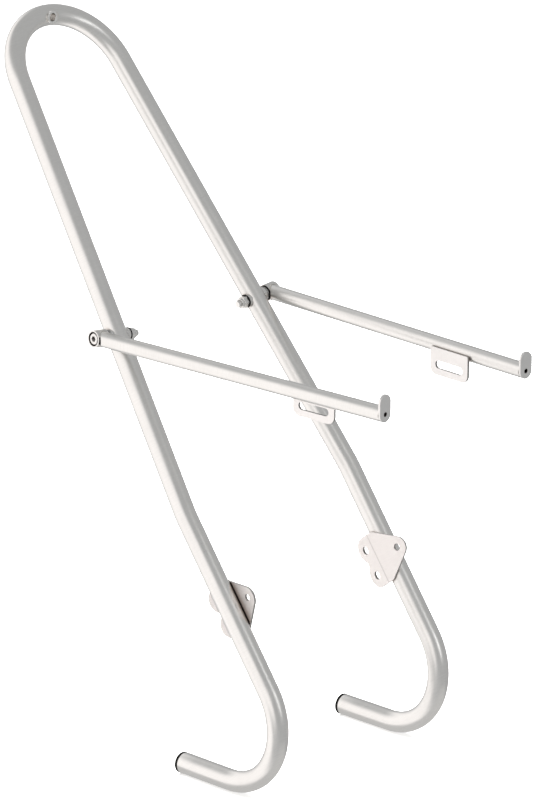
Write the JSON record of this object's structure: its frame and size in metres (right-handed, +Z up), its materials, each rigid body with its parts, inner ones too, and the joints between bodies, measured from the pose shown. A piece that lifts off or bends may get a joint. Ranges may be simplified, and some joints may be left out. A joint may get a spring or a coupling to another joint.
{
  "type": "ladder stabilizer",
  "caption": "Satin metal ladder stabilizer: leaning hairpin tube frame with hooked feet, swinging stay arms with slotted tabs and round end plates, and holed brackets inside its legs.",
  "frame": {"origin": "centre of the top bush, where it crosses the middle of the top bend", "axes": "+Z is up, -Y is the way both nearly level arms point, and X runs across the frame with the left leg at -X"},
  "size_m": [0.2936, 0.6704, 0.822],
  "materials": {
    "satin_tube": "satin, finely brushed",
    "satin_plate": "satin, brighter and flatter than the tubes",
    "zinc_fastener": "zinc plated, semi-bright",
    "black_plastic": "matte black",
    "nylon": "natural off-white"
  },
  "bodies": {
    "frame": {"frame_tube": "satin_tube", "top_bush": "satin_tube", "left_end_cap": "black_plastic", "right_end_cap": "black_plastic", "left_bracket": "satin_plate", "right_bracket": "satin_plate", "left_pivot_bolt": "zinc_fastener", "right_pivot_bolt": "zinc_fastener", "left_saddle_spacer": "zinc_fastener", "right_saddle_spacer": "zinc_fastener", "left_friction_washer": "black_plastic", "right_friction_washer": "black_plastic", "left_nut_spacer": "zinc_fastener", "right_nut_spacer": "zinc_fastener", "left_nut_washer": "black_plastic", "right_nut_washer": "black_plastic", "left_lock_nut": "zinc_fastener", "right_lock_nut": "zinc_fastener", "left_nut_insert": "nylon", "right_nut_insert": "nylon"},
    "left_arm": {"left_arm_tube": "satin_tube", "left_pivot_sleeve": "satin_tube", "left_sleeve_bush": "nylon", "left_slot_tab": "satin_plate", "left_end_plate": "satin_plate"},
    "right_arm": {"right_arm_tube": "satin_tube", "right_pivot_sleeve": "satin_tube", "right_sleeve_bush": "nylon", "right_slot_tab": "satin_plate", "right_end_plate": "satin_plate"}
  },
  "joints": [
    {"name": "left_arm_pivot", "type": "hinge", "parent": "frame", "child": "left_arm", "pos_m": [-0.11064, -0.23346, -0.31781], "axis": [-0.9954, 0.0567, 0.0772], "range_deg": [-38, 110]},
    {"name": "right_arm_pivot", "type": "hinge", "parent": "frame", "child": "right_arm", "pos_m": [0.11064, -0.23346, -0.31781], "axis": [-0.9954, -0.0567, -0.0772], "range_deg": [-38, 110]}
  ]
}
